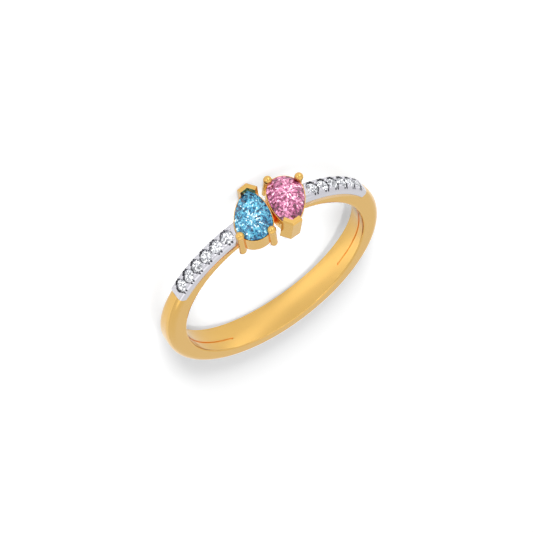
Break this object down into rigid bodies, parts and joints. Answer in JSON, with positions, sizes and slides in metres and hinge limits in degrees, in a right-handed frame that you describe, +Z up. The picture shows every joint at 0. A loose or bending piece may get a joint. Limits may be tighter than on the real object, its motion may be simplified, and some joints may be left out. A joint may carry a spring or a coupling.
{
  "type": "toi et moi ring",
  "caption": "Slim tapering yellow gold finger ring with a blue and a pink pear stone set head to tail and a white pave plate of round diamonds on each shoulder.",
  "frame": {"origin": "bottom centre of the box of the ring as it lies on its side", "axes": "+X across the head toward the pink stone's shoulder, +Y from the finger toward the head, +Z up from the floor, nearly along the finger"},
  "size_m": [0.0206, 0.0214, 0.0054],
  "materials": {
    "yellow_gold": "polished",
    "white_gold": "polished",
    "diamond": "cut and polished",
    "blue_topaz": "cut and polished",
    "pink_sapphire": "cut and polished"
  },
  "bodies": {
    "root": {"gold_ring": "yellow_gold", "pave_plate_left": "white_gold", "pave_plate_right": "white_gold", "diamond_left_1": "diamond", "diamond_left_2": "diamond", "diamond_left_3": "diamond", "diamond_left_4": "diamond", "diamond_left_5": "diamond", "diamond_left_6": "diamond", "diamond_right_1": "diamond", "diamond_right_2": "diamond", "diamond_right_3": "diamond", "diamond_right_4": "diamond", "diamond_right_5": "diamond", "diamond_right_6": "diamond", "blue_pear": "blue_topaz", "pink_pear": "pink_sapphire"}
  },
  "joints": []
}
